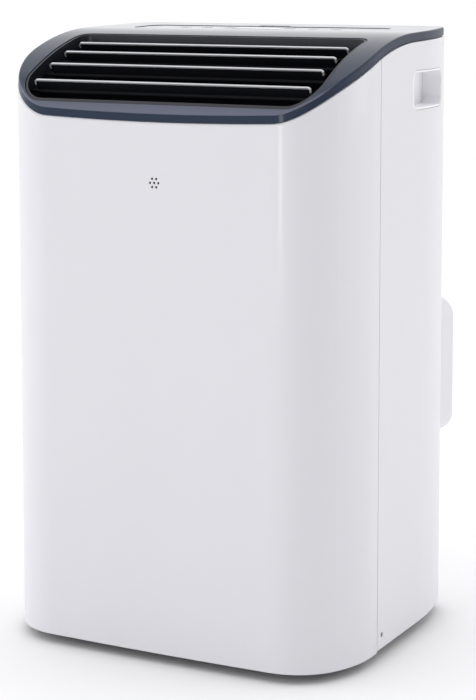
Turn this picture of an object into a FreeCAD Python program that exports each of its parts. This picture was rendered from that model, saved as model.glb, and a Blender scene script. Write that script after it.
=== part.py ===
# Portable air conditioner on casters: a tall rounded cabinet with a sloping louvred top outlet.
# Millimetres, +Z up, front towards -Y.  Local Y counts from the front face and Z from the floor;
# every sub-part is shifted by the same expression so that the bounding box is centred on X and Y.
import FreeCAD, Part
import Sketcher
import math
import os
import re
from FreeCAD import Vector

doc = FreeCAD.newDocument("portable_air_conditioner")

SIZES = [
    # cabinet plan outline
    ("overall_width", 446), ("body_depth", 349), ("bow_radius", 4800), ("corner_front", 75),
    ("corner_side", 125), ("corner_turn", 30), ("taper_radius", 330), ("taper_turn", 16),
    ("corner_rear", 22), ("hood_reach", 52),
    # cabinet heights and the side profile of the sloping top
    ("floor_gap", 12), ("rear_step", 2), ("crown_back", 214), ("crown_height", 705), ("top_slope", 1.6),
    ("crown_radius", 364), ("crown_turn", 27.9), ("nose_radius", 137), ("nose_turn", 30),
    ("profile_floor", 5), ("profile_back", 400),
    # shells and the clearances between them
    ("wall", 3), ("seam", 117), ("seam_gap", 0.8), ("cover_rise", 11), ("cover_gap", 1.4),
    ("cover_inset", 0.9), ("tongue", 10), ("tongue_thick", 2), ("fit_gap", 0.4), ("cover_edge", 2.4),
    # air outlet
    ("outlet_half", 192), ("outlet_front", 8), ("outlet_back", 161), ("outlet_corner", 36), ("outlet_rear_corner", 16),
    ("frame_gap", 0.9), ("frame_wall", 2.6), ("frame_bottom", 600), ("frame_sink", 0.8),
    ("guard_height", 6), ("guard_bar", 2),
    # louvre blades
    ("blade_space", 14.5), ("blade_sink", 1.2), ("blade_chord", 30), ("blade_thick", 2.4), ("blade_pivot", 14),
    ("blade_angle", 62), ("blade_first", 32), ("blade_pitch", 32.3), ("pin_radius", 2),
    ("run_gap", 0.05), ("trim_thick", 1.8), ("trim_width", 2.6), ("trim_leg", 5), ("trim_corner", 4),
    ("trim_shift", 0.6), ("crank_reach", 12), ("crank_pin", 1.5), ("crank_space", 1.5),
    ("crank_thick", 2), ("link_thick", 2), ("link_width", 7), ("motor_radius", 9), ("motor_length", 15),
    # control panel and its keys
    ("panel_mid", 257.5), ("panel_half", 165), ("panel_depth", 65), ("panel_corner", 18),
    ("panel_sink", 0.5), ("panel_thick", 2), ("panel_flange", 4), ("key_radius", 6.5), ("key_gap", 0.3),
    ("key_pitch", 30), ("display_half", 32), ("display_depth", 24), ("board_drop", 12),
    ("receiver_half", 22), ("receiver_width", 9), ("receiver_back", 43),
    # side handles
    ("handle_front", 208), ("handle_back", 310), ("handle_low", 627), ("handle_high", 672),
    ("handle_corner", 11), ("handle_tilt", 2.5), ("handle_depth", 32), ("handle_wall", 2.2),
    # sensor holes and screws
    ("sensor_height", 552), ("sensor_pitch", 5.3), ("sensor_radius", 1.45), ("screw_back", 130),
    ("screw_height", 30), ("screw_hole", 3), ("screw_head", 2.8), ("screw_sink", 1.2),
    # rear intake door and filter
    ("door_half", 165), ("door_low", 420), ("door_high", 640), ("door_gap", 0.8), ("door_thick", 3),
    ("knuckle_radius", 3.5), ("hinge_drop", 4), ("slot_height", 4), ("slot_pitch", 9), ("filter_thick", 5),
    ("filter_space", 3), ("filter_rim", 7), ("filter_sheet", 0.8),
    # lower grille
    ("grille_left", -178), ("grille_right", 8), ("grille_low", 78), ("grille_high", 384),
    # exhaust hood
    ("hood_mid", 117), ("hood_half", 85), ("hood_low", 212), ("hood_high", 382), ("hood_wall", 3),
    ("hood_corner", 24), ("hood_edge", 9), ("hose_radius", 75), ("hose_wall", 3), ("hose_length", 22),
    # base and deck
    ("base_low", 50), ("base_thick", 4), ("base_rim_low", 22), ("base_rim_high", 66), ("deck_low", 398),
    ("deck_thick", 4),
    # casters
    ("caster_half", 150), ("caster_front", 74), ("caster_back", 276), ("wheel_radius", 18),
    ("wheel_width", 10), ("caster_trail", 12), ("stem_radius", 4), ("axle_radius", 3), ("web_half", 3),
    ("boss_radius", 9), ("boss_height", 10),
    # supply-air blower
    ("blower_half", 118), ("blower_back", 175), ("blower_height", 500), ("blower_radius", 84),
    ("blower_wheel", 68), ("blade_depth", 11), ("shaft_radius", 4), ("inlet_radius", 54),
    ("duct_wall", 2.5), ("throat_front", 34), ("throat_back", 150), ("plenum_low", 570),
    # exhaust fan
    ("exhaust_left", 72), ("exhaust_right", 158), ("exhaust_back", 215), ("exhaust_height", 290),
    ("exhaust_radius", 78), ("exhaust_wheel", 63), ("exhaust_throat", 66),
    # coils, compressor and the rest of the inside
    ("coil_back", 327), ("coil_depth", 34), ("evap_half", 165), ("evap_low", 410), ("evap_high", 622),
    ("cond_left", -186), ("cond_right", 44), ("cond_low", 66), ("cond_high", 388), ("fin_pitch", 9),
    ("fin_slot", 4.5), ("fin_depth", 8), ("comp_x", -98), ("comp_y", 130), ("comp_radius", 56),
    ("comp_low", 74), ("comp_high", 290), ("foot_radius", 66), ("grommet_radius", 9), ("pipe_radius", 4.5),
    ("drain_x", 66), ("drain_height", 40), ("drain_radius", 8), ("drain_bore", 5), ("drain_reach", 14),
    ("cap_wall", 2.5), ("upper_drain_x", 176), ("gland_x", 150), ("gland_height", 90),
]
sheet = doc.addObject("Spreadsheet::Sheet", "Sizes")
for row, (alias, value) in enumerate(SIZES, 1):
    sheet.set(f"A{row}", alias)
    sheet.set(f"B{row}", str(value))
    sheet.setAlias(f"B{row}", alias)
doc.recompute()
VALUE = dict(SIZES)
NAMES = re.compile(r"\b(" + "|".join(sorted(VALUE, key=len, reverse=True)) + r")\b")
SHIFT = "-(body_depth + hood_reach) / 2"
AXES = {"X": ((0, 1, 0), 90), "Y": ((1, 0, 0), -90), "Z": ((0, 0, 1), 0)}
SUBPARTS = []


def link(text):
    """Turn size names into spreadsheet references."""
    return NAMES.sub(r"Sizes.\1", str(text))


def number(text):
    """Value of an expression now, used only for the first shape of a sketch and for picking edges."""
    probe = doc.getObject("Probe") or doc.addObject("Part::Box", "Probe")
    probe.setExpression("Placement.Base.x", link(text))
    probe.recompute()
    return probe.Placement.Base.x


def put(obj, x="0", y="0", z="0", axis="Z", turn=None):
    direction, angle = AXES[axis]
    obj.Placement = FreeCAD.Placement(Vector(), FreeCAD.Rotation(Vector(*direction), angle))
    for key, text in (("x", x), ("y", y), ("z", z)):
        obj.setExpression("Placement.Base." + key, link(text))
    if turn:
        obj.Placement.Rotation = FreeCAD.Rotation(Vector(*turn[0]), 1)
        obj.setExpression("Placement.Rotation.Angle", link(turn[1]))
    return obj


def box(name, x, y, z, dx, dy, dz, turn=None):
    obj = doc.addObject("Part::Box", name)
    for key, text in (("Length", dx), ("Width", dy), ("Height", dz)):
        obj.setExpression(key, link(text))
    return put(obj, x, y, z, turn=turn)


def span(name, x0, x1, y0, y1, z0, z1):
    """Box given by its two limits on each axis."""
    return box(name, x0, y0, z0, f"({x1}) - ({x0})", f"({y1}) - ({y0})", f"({z1}) - ({z0})")


def rod(name, axis, x, y, z, radius, length):
    obj = doc.addObject("Part::Cylinder", name)
    obj.setExpression("Radius", link(radius))
    obj.setExpression("Height", link(length))
    return put(obj, x, y, z, axis)


def ball(name, x, y, z, radius):
    obj = doc.addObject("Part::Sphere", name)
    obj.setExpression("Radius", link(radius))
    return put(obj, x, y, z)


def fuse(name, *parts):
    obj = doc.addObject("Part::MultiFuse", name)
    obj.Shapes = list(parts)
    return obj


def common(name, *parts):
    obj = doc.addObject("Part::MultiCommon", name)
    obj.Shapes = list(parts)
    return obj


def cut(name, base, *tools):
    obj = doc.addObject("Part::Cut", name)
    obj.Base = base
    obj.Tool = tools[0] if len(tools) == 1 else fuse(name + "_tools", *tools)
    return obj


def round_edges(name, base, radius, wanted):
    """Fillet every edge for which wanted(edge) is true."""
    doc.recompute()
    picked = [n for n, edge in enumerate(base.Shape.Edges, 1) if wanted(edge)]
    obj = doc.addObject("Part::Fillet", name)
    obj.Base = base
    obj.Edges = [(n, VALUE[radius], VALUE[radius]) for n in picked]
    return obj


def extrude(name, sketch, direction, length, back="0"):
    obj = doc.addObject("Part::Extrusion", name)
    obj.Base = sketch
    obj.DirMode = "Custom"
    obj.Dir = Vector(*direction)
    obj.setExpression("LengthFwd", link(length))
    obj.setExpression("LengthRev", link(back))
    obj.Solid = True
    return obj


def subpart(label, obj, z="0", y="0", turn=None, x="0"):
    """Name a finished sub-part and give it its place in the assembly."""
    if obj.TypeId in ("Part::Box", "Part::Cylinder", "Part::Extrusion"):
        holder = doc.addObject("Part::Compound", label + "_holder")
        holder.Links = [obj]
        obj = holder
    obj.Label = label
    put(obj, x, f"{SHIFT} + {y}", z, turn=turn)
    SUBPARTS.append(obj)
    return obj


class Profile:
    """A closed sketch with named dimensions that follow the spreadsheet."""

    def __init__(self, name, plane="XY"):
        self.sketch = doc.addObject("Sketcher::SketchObject", name)
        turns = {"XY": FreeCAD.Rotation(), "YZ": FreeCAD.Rotation(Vector(1, 1, 1), 120),
                 "XZ": FreeCAD.Rotation(Vector(1, 0, 0), 90)}
        self.sketch.Placement = FreeCAD.Placement(Vector(), turns[plane])
        self.count = 0

    def add(self, geometry):
        self.sketch.addGeometry(geometry, False)

    def rule(self, *args):
        return self.sketch.addConstraint(Sketcher.Constraint(*args))

    def size(self, kind, *args, value, text):
        index = self.rule(kind, *args, value)
        self.count += 1
        label = f"size_{self.count}"
        self.sketch.renameConstraint(index, label)
        self.sketch.setExpression("Constraints." + label, link(text))


def arc(cx, cy, radius, start, end):
    return Part.ArcOfCircle(Part.Circle(Vector(cx, cy, 0), Vector(0, 0, 1), radius), start, end)


def line(x0, y0, x1, y1):
    return Part.LineSegment(Vector(x0, y0, 0), Vector(x1, y1, 0))


def cabinet_plan(name, inset):
    """Cabinet outline moved inwards: bowed front, two-radius corners, tapering rear sides."""
    off = number(inset)
    half, depth = VALUE["overall_width"] / 2, VALUE["body_depth"]
    bow, front, side = VALUE["bow_radius"], VALUE["corner_front"], VALUE["corner_side"]
    taper, rear = VALUE["taper_radius"], VALUE["corner_rear"]
    turn, slew = math.radians(VALUE["corner_turn"]), math.radians(VALUE["taper_turn"])
    cx = half - side + (side - front) * math.cos(turn)
    cy = bow - math.sqrt((bow - front) ** 2 - cx ** 2)
    side_y = cy + (side - front) * math.sin(turn)
    taper_y = depth - rear - (taper - rear) * math.sin(slew)
    rear_x = half - taper + (taper - rear) * math.cos(slew)
    lead, pi, x = math.atan2(cy - bow, cx), math.pi, half - off
    plan = Profile(name)
    plan.add([
        arc(0, bow, bow - off, -pi - lead, lead), arc(cx, cy, front - off, lead, -turn),
        arc(half - side, side_y, side - off, -turn, 0), line(x, side_y, x, taper_y),
        arc(half - taper, taper_y, taper - off, 0, slew),
        arc(rear_x, depth - rear, rear - off, slew, pi / 2),
        line(rear_x, depth - off, -rear_x, depth - off),
        arc(-rear_x, depth - rear, rear - off, pi / 2, pi - slew),
        arc(taper - half, taper_y, taper - off, pi - slew, pi), line(-x, taper_y, -x, side_y),
        arc(side - half, side_y, side - off, pi, pi + turn),
        arc(-cx, cy, front - off, pi + turn, pi - lead)])
    for index in range(12):
        plan.rule("Tangent", index, 2, (index + 1) % 12, 1)
    for index, key in ((0, "bow_radius"), (1, "corner_front"), (11, "corner_front"),
                       (2, "corner_side"), (10, "corner_side"), (4, "taper_radius"),
                       (8, "taper_radius"), (5, "corner_rear"), (7, "corner_rear")):
        plan.size("Radius", index, value=VALUE[key] - off, text=f"{key} - ({inset})")
    for index in (3, 9):
        plan.rule("Vertical", index)
    plan.rule("Horizontal", 6)
    plan.size("DistanceX", -1, 1, 3, 1, value=x, text=f"overall_width / 2 - ({inset})")
    plan.size("DistanceX", 9, 1, -1, 1, value=x, text=f"overall_width / 2 - ({inset})")
    plan.size("DistanceY", -1, 1, 6, 1, value=depth - off, text=f"body_depth - ({inset})")
    plan.size("DistanceY", -1, 1, 0, 3, value=bow, text="bow_radius")
    plan.rule("PointOnObject", 0, 3, -2)
    for index, key in ((2, "corner_turn"), (10, "corner_turn"), (4, "taper_turn"), (8, "taper_turn")):
        plan.size("Angle", index, value=math.radians(VALUE[key]), text=key)
    return plan.sketch


def cabinet(name, inset, low="0", high="crown_height + 100"):
    """Solid prism of the cabinet outline between two heights."""
    solid = extrude(name, cabinet_plan(name + "_plan", inset), (0, 0, 1), f"({high}) - ({low})")
    return put(solid, z=low)


def under_top(name, lift):
    """Everything below the sloping top profile, raised by lift."""
    up = number(lift)
    crown, nose = VALUE["crown_radius"], VALUE["nose_radius"]
    slope = math.radians(VALUE["top_slope"])
    crown_end = slope + math.radians(VALUE["crown_turn"])
    nose_end = crown_end + math.radians(VALUE["nose_turn"])
    y1, z1 = VALUE["crown_back"], VALUE["crown_height"] + up
    c1 = (y1 + crown * math.sin(slope), z1 - crown * math.cos(slope))
    y2, z2 = c1[0] - crown * math.sin(crown_end), c1[1] + crown * math.cos(crown_end)
    c2 = (y2 + nose * math.sin(crown_end), z2 - nose * math.cos(crown_end))
    y3, z3 = c2[0] - nose * math.sin(nose_end), c2[1] + nose * math.cos(nose_end)
    back, low, quarter = VALUE["profile_back"], VALUE["profile_floor"], math.pi / 2
    side = Profile(name + "_side", "YZ")
    side.add([
        line(y3, low, back, low), line(back, low, back, z1 + (back - y1) * math.tan(slope)),
        line(y1, z1, back, z1 + (back - y1) * math.tan(slope)),
        arc(c1[0], c1[1], crown, quarter + slope, quarter + crown_end),
        arc(c2[0], c2[1], nose, quarter + crown_end, quarter + nose_end), line(y3, z3, y3, low)])
    for first, second in ((0, 1), (4, 5), (5, 0)):
        side.rule("Coincident", first, 2, second, 1)
    side.rule("Coincident", 1, 2, 2, 2)
    side.rule("Tangent", 2, 1, 3, 1)
    side.rule("Tangent", 3, 2, 4, 1)
    side.rule("Horizontal", 0)
    side.rule("Vertical", 1)
    side.rule("Vertical", 5)
    side.size("DistanceY", -1, 1, 0, 1, value=low, text="profile_floor")
    side.size("DistanceX", -1, 1, 1, 1, value=back, text="profile_back")
    side.size("DistanceX", -1, 1, 2, 1, value=y1, text="crown_back")
    side.size("DistanceY", -1, 1, 2, 1, value=z1, text=f"crown_height + ({lift})")
    side.size("Angle", 2, value=slope, text="top_slope")
    side.size("Radius", 3, value=crown, text="crown_radius")
    side.size("Radius", 4, value=nose, text="nose_radius")
    side.size("Angle", 3, value=crown_end - slope, text="crown_turn")
    side.size("Angle", 4, value=nose_end - crown_end, text="nose_turn")
    return extrude(name, side.sketch, (1, 0, 0), "overall_width", "overall_width")


def rounded(name, plane, left, right, low, high, radius, direction, start, length, far=None):
    """Prism of a rectangle with round corners (far: radius of the high pair), extruded from start."""
    x0, x1, y0, y1, r = (number(item) for item in (left, right, low, high, radius))
    q = number(far or radius)
    pi = math.pi
    shape = Profile(name + "_outline", plane)
    shape.add([
        line(x0 + r, y0, x1 - r, y0), arc(x1 - r, y0 + r, r, -pi / 2, 0), line(x1, y0 + r, x1, y1 - q),
        arc(x1 - q, y1 - q, q, 0, pi / 2), line(x1 - q, y1, x0 + q, y1),
        arc(x0 + q, y1 - q, q, pi / 2, pi), line(x0, y1 - q, x0, y0 + r),
        arc(x0 + r, y0 + r, r, pi, 3 * pi / 2)])
    for index in range(8):
        shape.rule("Tangent", index, 2, (index + 1) % 8, 1)
    for index in (0, 4):
        shape.rule("Horizontal", index)
    for index in (2, 6):
        shape.rule("Vertical", index)
    shape.rule("Equal", 1, 7)
    shape.rule("Equal", 3, 5)
    shape.size("Radius", 1, value=r, text=radius)
    shape.size("Radius", 3, value=q, text=far or radius)
    shape.size("DistanceX", -1, 1, 6, 1, value=x0, text=left)
    shape.size("DistanceX", -1, 1, 2, 1, value=x1, text=right)
    shape.size("DistanceY", -1, 1, 0, 1, value=y0, text=low)
    shape.size("DistanceY", -1, 1, 4, 1, value=y1, text=high)
    solid = extrude(name, shape.sketch, direction, length)
    axis = "xyz"[[abs(part) for part in direction].index(1)]
    solid.setExpression("Placement.Base." + axis, link(start))
    return solid


def tube(name, points, radius):
    """Round pipe along a chain of points, with ball elbows."""
    pieces = []
    for index, (start, end) in enumerate(zip(points, points[1:])):
        axis = [n for n in range(3) if start[n] != end[n]][0]
        first, last = (start, end) if number(f"({end[axis]}) - ({start[axis]})") > 0 else (end, start)
        length = f"({last[axis]}) - ({first[axis]})"
        pieces.append(rod(f"{name}_run_{index}", "XYZ"[axis], *first, radius, length))
    for index, point in enumerate(points[1:-1]):
        pieces.append(ball(f"{name}_elbow_{index}", *point, radius))
    return fuse(name, *pieces)


def slats(name, left, right, low, high, front, depth, posts):
    """Row of horizontal slots between two limits, interrupted by upright posts."""
    tools = []
    pitch = VALUE["slot_pitch"]
    rows = int((number(high) - number(low)) // pitch)
    columns = posts + 1
    for column in range(columns):
        start = f"({left}) + (({right}) - ({left}) + slot_height) * {column} / {columns}"
        width = f"(({right}) - ({left}) + slot_height) / {columns} - slot_height"
        for index in range(rows):
            tools.append(box(f"{name}_{column}_{index}", start, front, f"({low}) + slot_pitch * {index}",
                             width, depth, "slot_height"))
    return tools


# ---------------------------------------------------------------- cabinet shells
FRONT = "seam - seam_gap / 2"
REAR = "seam + seam_gap / 2"
TONGUE = "wall + fit_gap"
TONGUE_IN = "wall + fit_gap + tongue_thick"
BACK_IN = "body_depth - wall"
lip = under_top("lip", "0")
lip_low = under_top("lip_low", "-tongue")

front_shell = common("front_shell", cut("front_ring", cabinet("front_outer", "0", "floor_gap"),
                                        cabinet("front_inner", "wall")), lip,
                     span("front_half", "-overall_width", "overall_width", "-10", FRONT, "0", "900"))
sensor_holes = [rod("sensor_hole_0", "Y", "0", "-5", "sensor_height", "sensor_radius", "20")]
for index in range(6):
    sensor_holes.append(rod(f"sensor_hole_{index + 1}", "Y", f"sensor_pitch * cos({index * 60})", "-5",
                            f"sensor_height + sensor_pitch * sin({index * 60})", "sensor_radius", "20"))
subpart("front_panel", cut("front_panel_cut", front_shell, *sensor_holes))

rear_shell = common("rear_shell", cut("rear_ring", cabinet("rear_outer", "0", "floor_gap + rear_step"),
                                      cabinet("rear_inner", "wall")), lip,
                    span("rear_half", "-overall_width", "overall_width", REAR, "500", "0", "900"))
tongue_ring = common("tongue_ring", cut("tongue_both", cabinet("tongue_outer", TONGUE, "base_rim_high + 4"),
                                        cabinet("tongue_inner", TONGUE_IN)), lip_low,
                     span("tongue_span", "-overall_width", "overall_width", "seam - tongue",
                          "seam + tongue", "0", "900"))
tongue_root = common("tongue_root", cut("root_both", cabinet("root_outer", "wall / 2", "base_rim_high + 4"),
                                        cabinet("root_inner", TONGUE_IN)), lip_low,
                     span("root_span", "-overall_width", "overall_width", "seam + 2",
                          "seam + tongue", "0", "900"))


def handle_solid(name, side, grow, depth, wall_out):
    """Rounded block that forms the hand recess on one side, tilted with the top."""
    block = rounded(name, "YZ", f"handle_front - ({grow})", f"handle_back + ({grow})",
                    f"handle_low - ({grow})", f"handle_high + ({grow})",
                    f"handle_corner + ({grow})", (1, 0, 0), "0", f"{depth} + {wall_out}")
    start = f"overall_width / 2 - ({depth})" if side > 0 else f"-overall_width / 2 - ({wall_out})"
    block.setExpression("Placement.Base.x", link(start))
    return block


hinge_y = "body_depth - door_thick - 1"
hinge_z = "door_low + hinge_drop"
door_swing = "sqrt(hinge_drop ^ 2 + (door_thick + 1) ^ 2)"
rear_cuts = [
    span("door_hole", "-door_half - door_gap", "door_half + door_gap", "body_depth - 10",
         "body_depth + 10", f"{hinge_z} - {door_swing} - fit_gap", "door_high + door_gap"),
    span("grille_hole", "grille_left - fit_gap", "grille_right + fit_gap", "body_depth - 10",
         "body_depth + 10", "grille_low - fit_gap", "grille_high + fit_gap"),
    span("throat_hole", "exhaust_left - 2", "exhaust_right + 2", "body_depth - 10", "body_depth + 10",
         "exhaust_height + 8", "exhaust_height + exhaust_radius + 2"),
    rod("drain_hole", "Y", "drain_x", "body_depth - 10", "drain_height", "drain_radius + fit_gap", "20"),
    rod("upper_drain_hole", "Y", "upper_drain_x", "body_depth - 30", "deck_low + 2 + drain_radius",
        "drain_radius + fit_gap", "50"),
    rod("gland_hole", "Y", "gland_x", "body_depth - 10", "gland_height", "9", "20"),
]
for side in (1, -1):
    tag = "right" if side > 0 else "left"
    rear_cuts.append(handle_solid(f"handle_hole_{tag}", side, "fit_gap", "20", "10"))
    rear_cuts.append(rod(f"screw_hole_{tag}", "X", f"{side} * overall_width / 2 - 10", "screw_back",
                         "screw_height", "screw_hole", "20"))
hinge_bosses = []
hinge_bores = []
for side in (1, -1):
    tag = "right" if side > 0 else "left"
    start = "door_half + door_gap" if side > 0 else "-door_half - door_gap - 8"
    hinge_bosses.append(box(f"hinge_boss_{tag}", start, "body_depth - wall - 6", f"{hinge_z} - 5", "8", "8", "10"))
    hinge_bores.append(rod(f"hinge_bore_{tag}", "X", start, hinge_y, hinge_z, "pin_radius + run_gap", "8"))
rear_open = cut("rear_open", fuse("rear_walls", rear_shell, tongue_ring, tongue_root), *rear_cuts)
subpart("rear_housing", cut("rear_housing_cut", fuse("rear_bossed", rear_open, *hinge_bosses), *hinge_bores))

# ---------------------------------------------------------------- top cover and outlet
def top_height(y):
    """Height of the outer top surface over a point on the crown or the nose."""
    crown_end = "(top_slope + crown_turn)"
    join = f"(crown_back + crown_radius * (sin(top_slope) - sin{crown_end}))"
    crown = (f"(crown_height + cover_rise - crown_radius * cos(top_slope)"
             f" + sqrt(crown_radius ^ 2 - (crown_back + crown_radius * sin(top_slope) - ({y})) ^ 2))")
    nose_y = f"({join} + nose_radius * sin{crown_end})"
    nose_z = (f"(crown_height + cover_rise - crown_radius * cos(top_slope)"
              f" + (crown_radius - nose_radius) * cos{crown_end})")
    nose = f"({nose_z} + sqrt(nose_radius ^ 2 - ({nose_y} - ({y})) ^ 2))"
    return crown if number(y) > number(join) else nose


def on_top_surface(edge):
    """True for an edge of the top cover's outer rim."""
    point = edge.valueAt((edge.FirstParameter + edge.LastParameter) / 2)
    if abs(edge.BoundBox.XMin + edge.BoundBox.XMax) < 0.1 and edge.BoundBox.YLength < 0.1 and point.y > 20:
        return point.z > VALUE["crown_height"] + VALUE["cover_rise"] + 1
    if point.y > VALUE["crown_back"]:
        rise = (point.y - VALUE["crown_back"]) * math.tan(math.radians(VALUE["top_slope"]))
        return abs(point.z - VALUE["crown_height"] - VALUE["cover_rise"] - rise) < 0.05
    return abs(point.z - number(top_height(point.y))) < 0.05


top = under_top("top", "cover_rise")
cover_block = cut("cover_block", common("cover_below", cabinet("cover_outer", "cover_inset", "profile_floor"),
                                        top), under_top("cover_floor", "cover_gap"))
cover_soft = round_edges("cover_soft", cover_block, "cover_edge", on_top_surface)
cover_shell = cut("cover_shell", cover_soft,
                  common("cover_hollow", cabinet("cover_inner", "cover_inset + wall", "profile_floor"),
                         under_top("cover_soffit", "cover_rise - wall")))
cover_rim = cut("cover_rim", common("rim_block", cabinet("rim_outer", TONGUE, "profile_floor"),
                                    under_top("rim_top", "cover_rise - wall / 2")),
                cabinet("rim_inner", TONGUE_IN, "profile_floor"),
                under_top("rim_low", "-tongue + fit_gap + 1"))
outlet_hole = rounded("outlet_hole", "XY", "-outlet_half", "outlet_half", "outlet_front", "outlet_back",
                      "outlet_corner", (0, 0, 1), "profile_floor", "900", "outlet_rear_corner")
panel_z = "crown_height + cover_rise + (panel_mid - crown_back) * tan(top_slope)"
PANEL_TURN = ((1, 0, 0), "top_slope")


def on_panel(name, half, depth, radius, low, high, mid="0"):
    """Rounded plate parallel to the top, measured from the panel centre on the outer surface."""
    plate = rounded(name, "XY", f"-({half})", half, f"({mid}) - ({depth}) / 2", f"({mid}) + ({depth}) / 2",
                    radius, (0, 0, 1), low, f"({high}) - ({low})")
    return plate


def tilted(plate, start):
    """Carry a plate that starts at a height in the panel's own frame onto the sloping top."""
    return put(plate, "0", f"panel_mid - ({start}) * sin(top_slope)",
               f"{panel_z} + ({start}) * cos(top_slope)", turn=PANEL_TURN)


panel_hole = tilted(on_panel("panel_hole", "panel_half", "panel_depth", "panel_corner", "-8", "6"), "-8")
receiver_hole = tilted(on_panel("receiver_hole", "receiver_half", "receiver_width",
                                "receiver_width / 2 - 0.01", "-8", "6", "receiver_back"), "-8")
cover_cut = cut("cover_cut", fuse("cover_walls", cover_shell, cover_rim), outlet_hole, panel_hole, receiver_hole)
subpart("top_cover", cover_cut)

frame_out = "outlet_half - frame_gap"
frame_ring = cut("frame_ring",
                 rounded("frame_outer", "XY", "-outlet_half + frame_gap", "outlet_half - frame_gap",
                         "outlet_front + frame_gap", "outlet_back - frame_gap", "outlet_corner - frame_gap",
                         (0, 0, 1), "frame_bottom", "crown_height - frame_bottom + 95",
                         "outlet_rear_corner - frame_gap"),
                 rounded("frame_inner", "XY", "-outlet_half + frame_gap + frame_wall",
                         "outlet_half - frame_gap - frame_wall", "outlet_front + frame_gap + frame_wall",
                         "outlet_back - frame_gap - frame_wall", "outlet_corner - frame_gap - frame_wall",
                         (0, 0, 1), "frame_bottom - 10", "crown_height - frame_bottom + 195",
                         "outlet_rear_corner - frame_gap - frame_wall"))
frame_trimmed = common("frame_trimmed", frame_ring, under_top("frame_top", "cover_rise - frame_sink"))
EDGE_Y = [f"blade_first + blade_pitch * {index}" for index in range(4)]


PIVOTS = []
for index, y in enumerate(EDGE_Y):
    PIVOTS.append((f"({y} + blade_pivot * cos(blade_angle))",
                   f"({top_height(y)} - blade_sink * {index} - trim_thick / 2 - blade_pivot * sin(blade_angle))"))
pin_bores = []
for index, (py, pz) in enumerate(PIVOTS, 1):
    pin_bores.append(rod(f"pivot_bore_{index}", "X", "-outlet_half - 5", py, pz, "pin_radius + run_gap",
                         "2 * outlet_half + 10"))
subpart("outlet_frame", cut("outlet_frame_cut", frame_trimmed, *pin_bores))

guard_half = "outlet_half - frame_gap - frame_wall - fit_gap"
guard = [cut("guard_rim", span("guard_outer", f"-({guard_half})", guard_half,
                               "outlet_front + outlet_corner", "outlet_back - outlet_rear_corner",
                               "frame_bottom", "frame_bottom + guard_height"),
             span("guard_inner", f"-({guard_half} - guard_bar)", f"{guard_half} - guard_bar",
                  "outlet_front + outlet_corner + guard_bar", "outlet_back - outlet_rear_corner - guard_bar",
                  "frame_bottom - 1", "frame_bottom + guard_height + 1"))]
for index in range(1, 12):
    guard.append(box(f"guard_bar_{index}", f"-({guard_half}) + 2 * ({guard_half}) * {index} / 12 - guard_bar / 2",
                     "outlet_front + outlet_corner", "frame_bottom", "guard_bar",
                     "outlet_back - outlet_front - outlet_corner - outlet_rear_corner", "guard_height"))
subpart("outlet_guard", fuse("outlet_guard_bars", *guard))

TURN_X = (1, 0, 0)
BLADE_HALF = "(outlet_half - blade_space)"
CRANK = "(outlet_half + crank_space)"
LEAF_HALF = f"{BLADE_HALF} - trim_thick - fit_gap / 2"
for index, (py, pz) in enumerate(PIVOTS, 1):
    # Local frame of a blade: origin on the pivot, local -Y runs from the pivot up to the silver edge.
    blade = [
        rounded(f"blade_{index}_leaf", "XY", f"-({LEAF_HALF})", LEAF_HALF, "-blade_pivot",
                "blade_chord - blade_pivot", "trim_corner - trim_thick", (0, 0, 1), "-blade_thick / 2",
                "blade_thick", "blade_thick"),
        rod(f"blade_{index}_hub", "X", f"-{BLADE_HALF}", "0", "0", "pin_radius + 1.2", f"2 * {BLADE_HALF}"),
        rod(f"blade_{index}_pin", "X", f"-{CRANK} - crank_thick", "0", "0", "pin_radius",
            f"{CRANK} + crank_thick + outlet_half + 4"),
        span(f"blade_{index}_crank", f"-{CRANK} - crank_thick", f"-{CRANK}", "0", "crank_reach",
             "-crank_pin - 1.5", "crank_pin + 1.5"),
        rod(f"blade_{index}_eye", "X", f"-{CRANK} - crank_thick", "crank_reach", "0", "crank_pin + 1.5",
            "crank_thick"),
        rod(f"blade_{index}_tip", "X", f"-{CRANK} - crank_thick - fit_gap - link_thick - 1", "crank_reach", "0",
            "crank_pin", "link_thick + fit_gap + 1.5"),
    ]
    subpart(f"louvre_blade_{index}", fuse(f"blade_{index}_all", *blade), z=pz, y=py,
            turn=(TURN_X, "-blade_angle"))
    strip = rounded(f"trim_{index}_bar", "XY", f"-{BLADE_HALF}", f"{BLADE_HALF}",
                    "-blade_pivot - trim_thick - fit_gap / 2", "-blade_pivot + trim_leg", "trim_corner", (0, 0, 1),
                    "-trim_width / 2", "trim_width", "trim_thick / 2")
    inner = rounded(f"trim_{index}_gap", "XY", f"-{BLADE_HALF} + trim_thick", f"{BLADE_HALF} - trim_thick",
                    "-blade_pivot - fit_gap / 2", "-blade_pivot + 3 * trim_leg", "trim_corner - trim_thick",
                    (0, 0, 1), "-trim_width", "2 * trim_width")
    subpart(f"louvre_trim_{index}", cut(f"trim_{index}_strip", strip, inner), z=pz, y=py,
            turn=(TURN_X, "-blade_angle"))

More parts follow.
